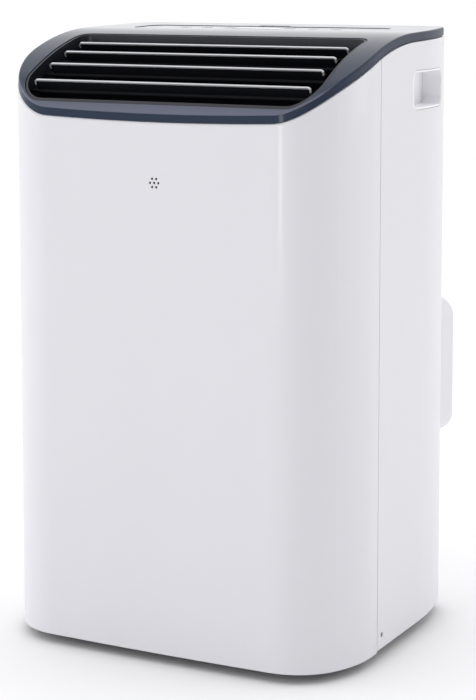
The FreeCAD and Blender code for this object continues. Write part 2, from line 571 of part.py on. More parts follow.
eyes = [(f"({py} + crank_reach * cos(blade_angle))", f"({pz} - crank_reach * sin(blade_angle))")
        for py, pz in PIVOTS]
link_x = f"-{CRANK} - crank_thick - fit_gap - link_thick"
bar = [rod(f"link_eye_{index}", "X", link_x, ey, ez, "link_width / 2", "link_thick")
       for index, (ey, ez) in enumerate(eyes, 1)]
for index in range(3):
    (y0, z0), (y1, z1) = eyes[index], eyes[index + 1]
    length = f"sqrt(({y1} - {y0}) ^ 2 + ({z1} - {z0}) ^ 2)"
    strap = box(f"link_strap_{index}", link_x, y0, z0, "link_thick", length, "link_width / 2",
                turn=(TURN_X, f"atan(({z1} - {z0}) / ({y1} - {y0}))"))
    bar.append(strap)
holes = [rod(f"link_hole_{index}", "X", f"{link_x} - 5", ey, ez, "crank_pin + run_gap", "20")
         for index, (ey, ez) in enumerate(eyes, 1)]
subpart("louvre_tie_bar", cut("tie_bar", fuse("tie_bar_solid", *bar), *holes))

motor_y, motor_z = PIVOTS[1]
motor = fuse("louvre_motor_solid",
             rod("louvre_motor_can", "X", "outlet_half + 1", motor_y, motor_z, "motor_radius", "motor_length"),
             span("louvre_motor_ear", "outlet_half + 1", "outlet_half + 3", f"{motor_y} - 14", f"{motor_y} + 14",
                  f"{motor_z} - 3.5", f"{motor_z} + 3.5"))
subpart("louvre_motor", cut("louvre_motor_cut", motor,
                            rod("louvre_motor_bore", "X", "outlet_half", motor_y, motor_z,
                                "pin_radius + run_gap", "8")))

# ---------------------------------------------------------------- control panel
KEYS = [("power_button", -3.4), ("mode_button", -2.4), ("timer_button", -1.4), ("fan_speed_button", 1.4),
        ("temperature_down_button", 2.4), ("temperature_up_button", 3.4)]
PLATE_LOW = "-wall - fit_gap - panel_thick / 2"
plate = fuse("panel_plate",
             on_panel("panel_face", "panel_half - fit_gap", "panel_depth - 2 * fit_gap", "panel_corner - fit_gap",
                      PLATE_LOW, "-panel_sink"),
             on_panel("panel_back", "panel_half + panel_flange", "panel_depth + 2 * panel_flange",
                      "panel_corner + panel_flange", "-wall - fit_gap - panel_thick", "-wall - fit_gap"))
key_holes = [rod(f"{key}_hole", "Z", f"key_pitch * {column}", "0", "-20", "key_radius + key_gap", "40")
             for key, column in KEYS]
display_hole = on_panel("display_hole", "display_half + fit_gap / 2", "display_depth + fit_gap", "3", "-20", "20")
subpart("control_panel", cut("control_panel_cut", plate, display_hole, *key_holes), z=panel_z, y="panel_mid",
        turn=PANEL_TURN)
subpart("display_window", on_panel("display_glass", "display_half", "display_depth", "2.8", "-5", "-panel_sink + 0.2"),
        z=panel_z, y="panel_mid", turn=PANEL_TURN)
FLANGE_LOW = "-wall - fit_gap - panel_thick"
for key, column in KEYS:
    cap = rod(f"{key}_cap", "Z", "0", "0", f"{FLANGE_LOW} - 1", "key_radius", f"-panel_sink + 0.1 - ({FLANGE_LOW} - 1)")
    skirt = rod(f"{key}_skirt", "Z", "0", "0", f"{FLANGE_LOW} - 1.6", "key_radius + 1.2", "1.2")
    subpart(key, fuse(f"{key}_solid", cap, skirt), z=panel_z, y="panel_mid", x=f"key_pitch * {column}",
            turn=PANEL_TURN)
subpart("remote_receiver_window",
        on_panel("receiver_glass", "receiver_half - fit_gap / 2", "receiver_width - fit_gap",
                 "receiver_width / 2 - fit_gap / 2 - 0.01", "-4", "-0.5", "receiver_back"),
        z=panel_z, y="panel_mid", turn=PANEL_TURN)
board = [box("board_sheet", "-panel_half + 35", "-panel_depth / 2 + 6", "-board_drop - 1.6",
             "2 * (panel_half - 35)", "panel_depth - 12", "1.6")]
for key, column in KEYS:
    board.append(box(f"{key}_switch", f"key_pitch * {column} - 3", "-3", "-board_drop - 0.1", "6", "6", "1.6"))
subpart("control_board", fuse("board_all", *board), z=panel_z, y="panel_mid", turn=PANEL_TURN)

# ---------------------------------------------------------------- side handles, sensor and screws
for side in (1, -1):
    tag = "right" if side > 0 else "left"
    outer = handle_solid(f"handle_outer_{tag}", side, "0", "handle_depth", "10")
    inner = handle_solid(f"handle_inner_{tag}", side, "-handle_wall", "handle_depth - handle_wall", "12")
    skin = cabinet(f"handle_skin_{tag}", "fit_gap / 2", "profile_floor")
    subpart(f"side_handle_{tag}", cut(f"handle_cup_{tag}", common(f"handle_block_{tag}", outer, skin), inner))

subpart("front_sensor", span("front_sensor_case", "-13", "13", "wall + 1", "wall + 9", "sensor_height - 13",
                             "sensor_height + 13"))
side_screws = []
for side in (1, -1):
    tag = "right" if side > 0 else "left"
    start = "overall_width / 2 - screw_sink - 2" if side > 0 else "-overall_width / 2 + screw_sink"
    shank = "overall_width / 2 - 9" if side > 0 else "-overall_width / 2 + 3"
    side_screws.append(fuse(f"screw_{tag}",
                            rod(f"screw_head_{tag}", "X", start, "screw_back", "screw_height", "screw_head", "2"),
                            rod(f"screw_shank_{tag}", "X", shank, "screw_back", "screw_height", "1.5", "6")))
screws = doc.addObject("Part::Compound", "screw_group")
screws.Links = side_screws
subpart("side_screws", screws)

# ---------------------------------------------------------------- rear door, filter and grille
door_plate = span("door_plate", "-door_half", "door_half", "body_depth - door_thick", "body_depth",
                  "door_low", "door_high")
door_slots = slats("door_slot", "-door_half + 12", "door_half - 12", "door_low + 16", "door_high - 10",
                   "body_depth - 10", "20", 2)
finger = rounded("door_finger", "XZ", "-22", "22", "door_high - 9", "door_high + 9", "6", (0, 1, 0),
                 "body_depth - 1.5", "10")
knuckles = []
for side in (1, -1):
    tag = "right" if side > 0 else "left"
    start = "door_half - 14" if side > 0 else "-door_half"
    knuckles.append(rod(f"knuckle_{tag}", "X", start, hinge_y, hinge_z, "knuckle_radius", "14"))
    pin_start = "door_half - 2" if side > 0 else "-door_half - 6"
    knuckles.append(rod(f"door_pin_{tag}", "X", pin_start, hinge_y, hinge_z, "pin_radius", "8"))
subpart("intake_door", fuse("intake_door_all", cut("door_vented", door_plate, *door_slots), *knuckles))
FILTER_BACK = "body_depth - door_thick - filter_space"
filter_frame = cut("filter_frame",
                   span("filter_block", "-door_half + 6", "door_half - 6", f"{FILTER_BACK} - filter_thick",
                        FILTER_BACK, "door_low + 12", "door_high - 5"),
                   span("filter_gap_front", "-door_half + 6 + filter_rim", "-door_half + 6 + filter_rim + 98",
                        f"{FILTER_BACK} - 20", f"{FILTER_BACK} - filter_sheet", "door_low + 12 + filter_rim",
                        "door_high - 5 - filter_rim"),
                   span("filter_gap_mid", "-48", "48", f"{FILTER_BACK} - 20", f"{FILTER_BACK} - filter_sheet",
                        "door_low + 12 + filter_rim", "door_high - 5 - filter_rim"),
                   span("filter_gap_end", "door_half - 6 - filter_rim - 98", "door_half - 6 - filter_rim",
                        f"{FILTER_BACK} - 20", f"{FILTER_BACK} - filter_sheet", "door_low + 12 + filter_rim",
                        "door_high - 5 - filter_rim"))
subpart("air_filter", filter_frame)
grille_plate = span("grille_plate", "grille_left", "grille_right", "body_depth - door_thick", "body_depth",
                    "grille_low", "grille_high")
grille_slots = slats("grille_slot", "grille_left + 12", "grille_right - 12", "grille_low + 10",
                     "grille_high - 8", "body_depth - 10", "20", 1)
subpart("lower_grille", cut("lower_grille_vented", grille_plate, *grille_slots))

# ---------------------------------------------------------------- exhaust hood
HOOD_BACK = "body_depth + hood_reach"
hood_block = rounded("hood_block", "XZ", "hood_mid - hood_half", "hood_mid + hood_half", "hood_low",
                     "hood_high", "hood_corner", (0, 1, 0), "body_depth - 40", "40 + hood_reach")
hood_round = round_edges("hood_round", hood_block, "hood_edge",
                         lambda edge: edge.BoundBox.YMin > VALUE["body_depth"] + 10)
hood_inner = rounded("hood_inner", "XZ", "hood_mid - hood_half + hood_wall", "hood_mid + hood_half - hood_wall",
                     "hood_low + hood_wall", "hood_high - hood_wall", "hood_corner - hood_wall", (0, 1, 0),
                     "body_depth - 60", "60 + hood_reach - hood_wall")
hood_shell = cut("hood_shell", hood_round, hood_inner, cabinet("hood_seat", "-fit_gap / 2", "100"))
HOOD_Z = "(hood_low + hood_high) / 2"
collar = rod("hood_collar", "Y", "hood_mid", f"{HOOD_BACK} - hose_length", HOOD_Z, "hose_radius + hose_wall",
             "hose_length - 1")
subpart("exhaust_hood", cut("exhaust_hood_cut", fuse("hood_collared", hood_shell, collar),
                            rod("hose_bore", "Y", "hood_mid", f"{HOOD_BACK} - 40", HOOD_Z, "hose_radius", "60")))

# ---------------------------------------------------------------- base, deck and casters
CASTERS = [("front_left", -1, "caster_front"), ("front_right", 1, "caster_front"),
           ("rear_left", -1, "caster_back"), ("rear_right", 1, "caster_back")]
base = [cabinet("base_plate", TONGUE, "base_low", "base_low + base_thick"),
        cut("base_rim", cabinet("base_rim_outer", TONGUE, "base_rim_low", "base_rim_high"),
            cabinet("base_rim_inner", TONGUE_IN, "base_rim_low - 5", "base_rim_high + 5"))]
base_bores = []
for name, side, y in CASTERS:
    base.append(rod(f"boss_{name}", "Z", f"{side} * caster_half", y, "base_low", "boss_radius",
                    "base_thick + boss_height"))
    base_bores.append(rod(f"stem_bore_{name}", "Z", f"{side} * caster_half", y, "base_low - 5",
                          "stem_radius + run_gap", "base_thick + boss_height + 20"))
base.append(rod("drain_spout", "Y", "drain_x", "body_depth - 14", "drain_height", "drain_radius",
                "14 + drain_reach"))
base_bores.append(rod("drain_spout_bore", "Y", "drain_x", "body_depth - 20", "drain_height", "drain_bore", "60"))
for side in (1, -1):
    tag = "right" if side > 0 else "left"
    base_bores.append(rod(f"rim_screw_bore_{tag}", "X", f"{side} * overall_width / 2 - 12", "screw_back",
                          "screw_height", "1.6", "24"))
subpart("base_pan", cut("base_pan_cut", fuse("base_solid", *base), *base_bores))

UPPER_DRAIN_X = "upper_drain_x"
UPPER_DRAIN_Z = "(deck_low + 2 + drain_radius)"
deck = [cabinet("deck_plate", TONGUE_IN + " + fit_gap", "deck_low", "deck_low + deck_thick"),
        rod("upper_spout_neck", "Y", UPPER_DRAIN_X, "body_depth - 34", UPPER_DRAIN_Z, "drain_radius - 0.6",
            "36"),
        rod("upper_spout", "Y", UPPER_DRAIN_X, "body_depth + fit_gap", UPPER_DRAIN_Z, "drain_radius",
            "drain_reach - fit_gap"),
        span("spout_foot", f"{UPPER_DRAIN_X} - 6", f"{UPPER_DRAIN_X} + 6", "body_depth - 34",
             "body_depth - 10", "deck_low + 1", UPPER_DRAIN_Z)]
deck_cuts = [rod("upper_spout_bore", "Y", UPPER_DRAIN_X, "body_depth - 40", UPPER_DRAIN_Z, "drain_bore", "90"),
             span("pipe_pass", "-150", "-84", "205", "285", "deck_low - 5", "deck_low + 20")]
subpart("mid_deck", cut("mid_deck_cut", fuse("deck_solid", *deck), *deck_cuts))

subpart("lower_drain_cap",
        cut("lower_cap", rod("lower_cap_body", "Y", "drain_x", "body_depth + 1", "drain_height",
                             "drain_radius + run_gap + cap_wall", "drain_reach + 3"),
            rod("lower_cap_socket", "Y", "drain_x", "body_depth", "drain_height", "drain_radius + run_gap",
                "drain_reach + 1.2")))
subpart("upper_drain_plug",
        fuse("upper_plug",
             rod("upper_plug_stem", "Y", UPPER_DRAIN_X, "body_depth - 4", UPPER_DRAIN_Z, "drain_bore - run_gap",
                 "drain_reach + 5"),
             rod("upper_plug_head", "Y", UPPER_DRAIN_X, "body_depth + drain_reach + 0.3", UPPER_DRAIN_Z,
                 "drain_radius - 1", "4")))
subpart("cord_gland",
        cut("gland_cut", fuse("gland_solid",
                              rod("gland_neck", "Y", "gland_x", "body_depth - 10", "gland_height", "8.6", "12"),
                              rod("gland_head", "Y", "gland_x", "body_depth + 0.3", "gland_height", "11.5", "7"),
                              rod("gland_nut", "Y", "gland_x", "body_depth - wall - 5.3", "gland_height", "11.5",
                                  "5")),
            rod("gland_bore", "Y", "gland_x", "body_depth - 20", "gland_height", "4.2", "50")))

for name, side, y in CASTERS:
    x = f"{side} * caster_half"
    fork = fuse(f"fork_{name}_solid",
                rod(f"fork_{name}_stem", "Z", x, y, "base_low - 6", "stem_radius", "base_thick + boss_height + 4"),
                rod(f"fork_{name}_cap", "Z", x, y, "2 * wheel_radius + 2", "stem_radius + 10",
                    "base_low - 2 * wheel_radius - 2.2"),
                span(f"fork_{name}_web", f"{x} - web_half", f"{x} + web_half", f"{y} - 8",
                     f"{y} + caster_trail + 8", "wheel_radius - 7", "2 * wheel_radius + 4"))
    subpart(f"caster_fork_{name}",
            cut(f"fork_{name}_cut", fork, rod(f"fork_{name}_eye", "X", f"{x} - 20", f"{y} + caster_trail",
                                              "wheel_radius", "axle_radius + run_gap", "40")))
    wheels = fuse(f"wheels_{name}_solid",
                  rod(f"wheels_{name}_axle", "X", f"{x} - web_half - 3", f"{y} + caster_trail", "wheel_radius",
                      "axle_radius", "2 * web_half + 6"),
                  rod(f"wheels_{name}_left", "X", f"{x} - web_half - fit_gap - wheel_width",
                      f"{y} + caster_trail", "wheel_radius", "wheel_radius", "wheel_width"),
                  rod(f"wheels_{name}_right", "X", f"{x} + web_half + fit_gap", f"{y} + caster_trail",
                      "wheel_radius", "wheel_radius", "wheel_width"))
    subpart(f"caster_wheels_{name}", wheels)


# ---------------------------------------------------------------- fans
def drum_wheel(name, left, right, y, z, radius, blades, shaft_left, shaft_right):
    """Squirrel-cage wheel: slotted drum, end rings, middle disc, hub and shaft along X."""
    width = f"({right}) - ({left})"
    drum = cut(f"{name}_drum", rod(f"{name}_outer", "X", left, y, z, radius, width),
               rod(f"{name}_inner", "X", f"({left}) - 1", y, z, f"{radius} - blade_depth", f"{width} + 2"))
    slots = []
    for index in range(blades):
        turn = index * 360 / blades
        slot = doc.addObject("Part::Box", f"{name}_slot_{index}")
        slot.setExpression("Length", link(f"{width} - 16"))
        slot.setExpression("Width", link(f"{radius} * 2 * sin(360 / {blades} / 2) - 3"))
        slot.setExpression("Height", link(f"{radius} + 5"))
        put(slot, f"({left}) + 8", f"({y}) + blade_depth * 0.4 * cos({turn})",
            f"({z}) + blade_depth * 0.4 * sin({turn})", turn=((1, 0, 0), str(turn)))
        slots.append(slot)
    middle = f"(({left}) + ({right})) / 2"
    return fuse(f"{name}_solid", cut(f"{name}_cage", drum, *slots),
                rod(f"{name}_disc", "X", f"{middle} - 1.5", y, z, f"{radius} - blade_depth / 2", "3"),
                rod(f"{name}_hub", "X", f"{middle} - 12", y, z, "shaft_radius + 6", "24"),
                rod(f"{name}_shaft", "X", shaft_left, y, z, "shaft_radius", f"({shaft_right}) - ({shaft_left})"))


BY, BZ = "blower_back", "blower_height"
blower_outer = [
    rod("scroll_outer", "X", "-blower_half", BY, BZ, "blower_radius", "2 * blower_half"),
    span("throat_outer", "-blower_half", "blower_half", "throat_front", "throat_back", BZ, "plenum_low + 4"),
    rounded("plenum_outer", "XY", "-outlet_half + 6", "outlet_half - 6", "outlet_front + 4", "outlet_back - 2",
            "outlet_corner - 4", (0, 0, 1), "plenum_low", "frame_bottom - 1 - plenum_low",
            "outlet_rear_corner")]
blower_inner = [
    rod("scroll_inner", "X", "-blower_half + duct_wall", BY, BZ, "blower_radius - duct_wall",
        "2 * (blower_half - duct_wall)"),
    span("throat_inner", "-blower_half + duct_wall", "blower_half - duct_wall", "throat_front + duct_wall",
         "throat_back - duct_wall", BZ, "plenum_low + 10"),
    rounded("plenum_inner", "XY", "-outlet_half + 6 + duct_wall", "outlet_half - 6 - duct_wall",
            "outlet_front + 4 + duct_wall", "outlet_back - 2 - duct_wall", "outlet_corner - 4 - duct_wall",
            (0, 0, 1), "plenum_low + duct_wall", "frame_bottom + 10 - plenum_low",
            "outlet_rear_corner - duct_wall"),
    rod("scroll_inlets", "X", "-blower_half - 5", BY, BZ, "inlet_radius", "2 * blower_half + 10")]
subpart("supply_blower_housing", cut("supply_scroll", fuse("supply_scroll_solid", *blower_outer), *blower_inner))
subpart("supply_blower_wheel", drum_wheel("supply", "-blower_half + 10", "blower_half - 10", BY, BZ,
                                          "blower_wheel", 24, "-30", "blower_half + 30"))
motor_block = fuse("supply_motor_solid",
                   rod("supply_motor_can", "X", "blower_half + 6", BY, BZ, "42", "44"),
                   span("supply_motor_strap", "blower_half + 2", "blower_half + 8", f"{BY} - 70", f"{BY} + 70",
                        f"{BZ} - 14", f"{BZ} + 14"))
subpart("supply_motor", cut("supply_motor_cut", motor_block,
                            rod("supply_motor_bore", "X", "blower_half", BY, BZ, "shaft_radius + run_gap", "32")))

EY, EZ = "exhaust_back", "exhaust_height"
THROAT_Z = f"{EZ} + exhaust_radius - exhaust_throat"
exhaust_outer = [
    rod("exhaust_scroll_outer", "X", "exhaust_left", EY, EZ, "exhaust_radius", "exhaust_right - exhaust_left"),
    span("exhaust_throat_outer", "exhaust_left", "exhaust_right", EY, "body_depth + 6", THROAT_Z,
         f"{EZ} + exhaust_radius")]
exhaust_inner = [
    rod("exhaust_scroll_inner", "X", "exhaust_left + duct_wall", EY, EZ, "exhaust_radius - duct_wall",
        "exhaust_right - exhaust_left - 2 * duct_wall"),
    span("exhaust_throat_inner", "exhaust_left + duct_wall", "exhaust_right - duct_wall", EY,
         "body_depth + 20", f"{THROAT_Z} + duct_wall", f"{EZ} + exhaust_radius - duct_wall"),
    rod("exhaust_inlets", "X", "exhaust_left - 5", EY, EZ, "inlet_radius - 6", "exhaust_right - exhaust_left + 10")]
subpart("exhaust_fan_housing", cut("exhaust_scroll", fuse("exhaust_scroll_solid", *exhaust_outer), *exhaust_inner))
subpart("exhaust_fan_wheel", drum_wheel("exhaust", "exhaust_left + 6", "exhaust_right - 6", EY, EZ,
                                        "exhaust_wheel", 20, "exhaust_left + 20", "exhaust_right + 26"))
exhaust_motor = fuse("exhaust_motor_solid",
                     rod("exhaust_motor_can", "X", "exhaust_right + 6", EY, EZ, "36", "42"),
                     span("exhaust_motor_strap", "exhaust_right + 2", "exhaust_right + 8", f"{EY} - 62",
                          f"{EY} + 62", f"{EZ} - 12", f"{EZ} + 12"))
subpart("exhaust_motor", cut("exhaust_motor_cut", exhaust_motor,
                             rod("exhaust_motor_bore", "X", "exhaust_right", EY, EZ, "shaft_radius + run_gap",
                                 "28")))


# ---------------------------------------------------------------- refrigeration circuit and electrics
def coil(name, left, right, low, high):
    """Finned coil block with end plates and return bends."""
    front = "coil_back - coil_depth"
    block = span(f"{name}_block", left, right, front, "coil_back", low, high)
    grooves = []
    count = int((number(right) - number(left) - 10) // VALUE["fin_pitch"])
    for index in range(count):
        grooves.append(box(f"{name}_groove_{index}", f"({left}) + 8 + fin_pitch * {index}", f"{front} - 1",
                           f"({low}) + 5", "fin_slot", "fin_depth", f"({high}) - ({low}) - 10"))
    bends = []
    rows = int((number(high) - number(low) - 30) // 30)
    for index in range(rows):
        bends.append(rod(f"{name}_bend_{index}", "Z", f"({left}) - 5", "coil_back - coil_depth / 2",
                         f"({low}) + 15 + 30 * {index}", "4", "18"))
        for end in (0, 1):
            bends.append(rod(f"{name}_stub_{index}_{end}", "X", f"({left}) - 5", "coil_back - coil_depth / 2",
                             f"({low}) + 15 + 30 * {index} + 18 * {end}", "4", "8"))
    return fuse(f"{name}_solid", cut(f"{name}_fins", block, *grooves), *bends)


subpart("evaporator", coil("evaporator", "-evap_half", "evap_half", "evap_low", "evap_high"))
subpart("condenser", coil("condenser", "cond_left", "cond_right", "cond_low", "cond_high"))

feet = [(f"comp_x + foot_radius * cos({angle})", f"comp_y + foot_radius * sin({angle})")
        for angle in (90, 210, 330)]
can = round_edges("compressor_can_round", rod("compressor_can", "Z", "comp_x", "comp_y", "comp_low",
                                              "comp_radius", "comp_high - comp_low"), "hood_corner",
                  lambda edge: abs(edge.BoundBox.ZMin - edge.BoundBox.ZMax) < 0.001)
compressor = [can]
for index, (fx, fy) in enumerate(feet):
    compressor.append(rod(f"compressor_foot_{index}", "Z", fx, fy, "comp_low + 2", "grommet_radius + 2", "4"))
compressor.append(rod("compressor_plate", "Z", "comp_x", "comp_y", "comp_low + 2", "foot_radius", "4"))
compressor.append(rod("compressor_terminals", "Z", "comp_x + 20", "comp_y", "comp_high - 4", "16", "14"))
subpart("compressor", fuse("compressor_solid", *compressor))
grommets = doc.addObject("Part::Compound", "grommet_group")
grommets.Links = [rod(f"grommet_{index}", "Z", fx, fy, "base_low + base_thick", "grommet_radius",
                      "comp_low + 2 - base_low - base_thick") for index, (fx, fy) in enumerate(feet)]
subpart("compressor_grommets", grommets)

DISCHARGE_Z = "(comp_high + 24)"
subpart("discharge_pipe", tube("discharge", [
    ("comp_x - 20", "comp_y", "comp_high + 0.2"), ("comp_x - 20", "comp_y", DISCHARGE_Z),
    ("comp_x - 20", "222", DISCHARGE_Z), ("-60", "222", DISCHARGE_Z),
    ("-60", "coil_back - coil_depth - 0.3", DISCHARGE_Z)], "pipe_radius"))
subpart("suction_pipe", tube("suction", [
    ("comp_x", "comp_y + comp_radius + 0.3", "comp_low + 150"), ("comp_x", "245", "comp_low + 150"),
    ("comp_x", "245", "evap_low + 20"),
    ("comp_x", "coil_back - coil_depth - 0.3", "evap_low + 20")], "pipe_radius"))
subpart("liquid_line", tube("liquid", [
    ("-130", "coil_back - coil_depth - 0.3", "cond_low + 40"), ("-130", "268", "cond_low + 40"),
    ("-130", "268", "evap_low + 60"), ("-130", "coil_back - coil_depth - 0.3", "evap_low + 60")],
    "pipe_radius - 1.5"))
control_box = round_edges("control_box_round", span("control_box", "12", "150", "26", "96", "226", "384"),
                          "duct_wall", lambda edge: True)
subpart("electrical_box", control_box)

# ---------------------------------------------------------------- checks and export
doc.removeObject("Probe")
doc.recompute()
for obj in doc.Objects:
    if "Invalid" in obj.State or "Error" in obj.State:
        raise RuntimeError(f"{obj.Name} did not build: {obj.State}")
for obj in SUBPARTS:
    if obj.Shape.isNull() or not obj.Shape.isValid() or not obj.Shape.Solids:
        raise RuntimeError(f"{obj.Label} has no valid solid")
os.makedirs("parts", exist_ok=True)
for obj in SUBPARTS:
    obj.Shape.exportStep(os.path.join("parts", obj.Label + ".step"))
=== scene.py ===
"""Portable air conditioner: materials, small details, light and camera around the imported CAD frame."""
import math

import bmesh
import bpy
from mathutils import Matrix, Vector


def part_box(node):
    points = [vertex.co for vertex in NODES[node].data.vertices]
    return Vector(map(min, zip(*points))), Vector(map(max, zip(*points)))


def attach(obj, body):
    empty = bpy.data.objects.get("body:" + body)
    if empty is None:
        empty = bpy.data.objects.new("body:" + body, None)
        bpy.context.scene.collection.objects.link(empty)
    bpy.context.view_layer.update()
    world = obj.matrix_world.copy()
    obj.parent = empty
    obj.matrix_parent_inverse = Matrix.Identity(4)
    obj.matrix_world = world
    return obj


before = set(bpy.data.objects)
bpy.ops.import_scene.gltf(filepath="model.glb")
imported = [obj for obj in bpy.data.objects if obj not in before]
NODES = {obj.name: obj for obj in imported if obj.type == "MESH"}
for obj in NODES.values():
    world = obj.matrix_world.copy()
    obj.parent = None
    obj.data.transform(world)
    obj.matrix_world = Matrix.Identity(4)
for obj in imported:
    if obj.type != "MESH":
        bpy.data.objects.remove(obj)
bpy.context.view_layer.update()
CABINET_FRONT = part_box("front_panel")[0].y
SCENE = bpy.context.scene

# Colour inputs of a mix node: several inputs share the names A and B, so they are picked by place.
MIX_FIRST, MIX_SECOND = 6, 7


# ---------------------------------------------------------------- node helpers
class Shader:
    """A node material with short calls for the nodes used below."""

    def __init__(self, name, color, rough, metallic=0.0, **sockets):
        self.material = bpy.data.materials.new(name)
        self.material.use_nodes = True
        self.tree = self.material.node_tree
        self.bsdf = self.tree.nodes["Principled BSDF"]
        self.set(self.bsdf, "Base Color", (*color, 1.0))
        self.set(self.bsdf, "Roughness", rough)
        self.set(self.bsdf, "Metallic", metallic)
        for socket, value in sockets.items():
            self.set(self.bsdf, socket.replace("_", " "), value)
        self.place = self.node("ShaderNodeTexCoord").outputs["Object"]
        self.normal = None
        self.material.diffuse_color = (*color, 1.0)

    def node(self, kind, **values):
        made = self.tree.nodes.new(kind)
        for key, value in values.items():
            setattr(made, key, value)
        return made

    def set(self, node, socket, value):
        node.inputs[socket].default_value = value

    def link(self, source, target):
        self.tree.links.new(source, target)

    def stretched(self, scale):
        mapping = self.node("ShaderNodeMapping")
        self.set(mapping, "Scale", scale)
        self.link(self.place, mapping.inputs["Vector"])
        return mapping.outputs["Vector"]

    def noise(self, scale, detail=2.0, stretch=None, roughness=0.5):
        made = self.node("ShaderNodeTexNoise")
        self.set(made, "Scale", scale)
        self.set(made, "Detail", detail)
        self.set(made, "Roughness", roughness)
        self.link(self.stretched(stretch) if stretch else self.place, made.inputs["Vector"])
        return made.outputs["Fac"]

    def ramp(self, factor, stops):
        made = self.node("ShaderNodeValToRGB")
        ramp = made.color_ramp
        while len(ramp.elements) < len(stops):
            ramp.elements.new(0.5)
        for element, (position, color) in zip(ramp.elements, stops):
            element.position = position
            element.color = (*color, 1.0)
        self.link(factor, made.inputs["Fac"])
        return made.outputs["Color"]

    def spread(self, factor, low, high, start=0.3, end=0.7):
        made = self.node("ShaderNodeMapRange")
        for socket, value in (("From Min", start), ("From Max", end), ("To Min", low), ("To Max", high)):
            self.set(made, socket, value)
        self.link(factor, made.inputs["Value"])
        return made.outputs["Result"]

    def tone(self, color, change, scale, stretch=None):
        """Slow variation of the base colour, a few percent darker and lighter."""
        low = [max(0.0, part * (1 - change)) for part in color]
        high = [min(1.0, part * (1 + change)) for part in color]
        out = self.ramp(self.noise(scale, 4.0, stretch), [(0.32, low), (0.68, high)])
        self.link(out, self.bsdf.inputs["Base Color"])
        return self

    def gloss(self, low, high, scale, stretch=None):
        """Slow variation of the roughness."""
        self.link(self.spread(self.noise(scale, 5.0, stretch), low, high), self.bsdf.inputs["Roughness"])
        return self

    def bevel(self, radius):
        made = self.node("ShaderNodeBevel", samples=4)
        self.set(made, "Radius", radius)
        self.normal = made.outputs["Normal"]
        self.link(self.normal, self.bsdf.inputs["Normal"])
        return self

    def bump(self, height, distance, strength=0.5):
        made = self.node("ShaderNodeBump")
        self.set(made, "Distance", distance)
        self.set(made, "Strength", strength)
        self.link(height, made.inputs["Height"])
        if self.normal:
            self.link(self.normal, made.inputs["Normal"])
        self.normal = made.outputs["Normal"]
        self.link(self.normal, self.bsdf.inputs["Normal"])
        return self

    def wave(self, scale, direction, distortion=0.0, profile="SIN"):
        made = self.node("ShaderNodeTexWave", wave_type="BANDS", bands_direction=direction,
                         wave_profile=profile)
        self.set(made, "Scale", scale)
        self.set(made, "Distortion", distortion)
        self.link(self.place, made.inputs["Vector"])
        return made.outputs["Fac"]

    def paint_side_shade_and_lip_highlight(self, color, side_shade, lip_highlight, gloss, dull):
        """Paints light by world-space face direction: upward faces keep their colour, sideways faces get a
        painted shade tint and are duller, and the front lip gets a painted highlight tint.
        """
        split = self.node("ShaderNodeSeparateXYZ")
        self.link(self.node("ShaderNodeNewGeometry").outputs["Normal"], split.inputs[0])
        facing = self.node("ShaderNodeMath", operation="ABSOLUTE")
        self.link(split.outputs["X"], facing.inputs[0])
        side_shade_and_dull = self.spread(facing.outputs["Value"], 0.0, 1.0, 0.45, 0.75)
        bevelled = self.spread(split.outputs["Z"], 0.0, 1.0, 0.05, 0.3)
        ahead = self.spread(split.outputs["Y"], 0.0, 1.0, -0.6, -0.8)
        lip_highlight_mask = self.combine(ahead, bevelled, "MULTIPLY")
        darker = [part * 0.95 for part in color]
        shade = self.ramp(self.noise(9.0, 4.0), [(0.3, darker), (0.7, color)])
        # Painted light: the front lip is mixed towards a lighter painted highlight tint, and the sideways
        # faces towards a painted shade tint.
        for weight, painted_tint in ((lip_highlight_mask, lip_highlight), (side_shade_and_dull, side_shade)):
            mix = self.node("ShaderNodeMix", data_type="RGBA")
            self.link(weight, mix.inputs["Factor"])
            self.link(shade, mix.inputs[MIX_FIRST])
            mix.inputs[MIX_SECOND].default_value = (*painted_tint, 1.0)
            shade = mix.outputs[2]
        self.link(shade, self.bsdf.inputs["Base Color"])
        shine = self.node("ShaderNodeMix", data_type="FLOAT")
        self.link(side_shade_and_dull, shine.inputs["Factor"])
        self.link(self.spread(self.noise(26.0, 5.0), *gloss), shine.inputs[2])
        shine.inputs[3].default_value = dull
        self.link(shine.outputs[0], self.bsdf.inputs["Roughness"])
        return self

    def combine(self, first, second, operation):
        made = self.node("ShaderNodeMath", operation=operation)
        self.link(first, made.inputs[0])
        self.link(second, made.inputs[1])
        return made.outputs["Value"]


def moulded(name, color, rough, grain=0.5, edge=0.0007, change=0.02, spread=0.05, **sockets):
    """Injection-moulded plastic: fine spark-eroded grain, faint flow marks, softened edges."""
    made = Shader(name, color, rough, **sockets)
    made.tone(color, change, 7.0, (1.0, 1.0, 0.35))
    made.gloss(rough - spread, rough + spread, 26.0)
    made.bevel(edge)
    made.bump(made.noise(1500.0, 3.0), 0.00012, grain)
    return made.bump(made.noise(30.0, 1.0), 0.0004, 0.05).material


WHITE = (0.705, 0.70, 0.735)
white_shell = moulded("white_shell", WHITE, 0.34, 0.15, 0.0008, 0.008, 0.03, Coat_Weight=0.45,
                      Coat_Roughness=0.09)
# The hand recess white is lighter than the shell white: painted light standing in for light inside the
# recess.
recess_white_painted_light = moulded("white_recess_painted_light", (0.93, 0.925, 0.95), 0.45, 0.5, 0.0008, 0.01)


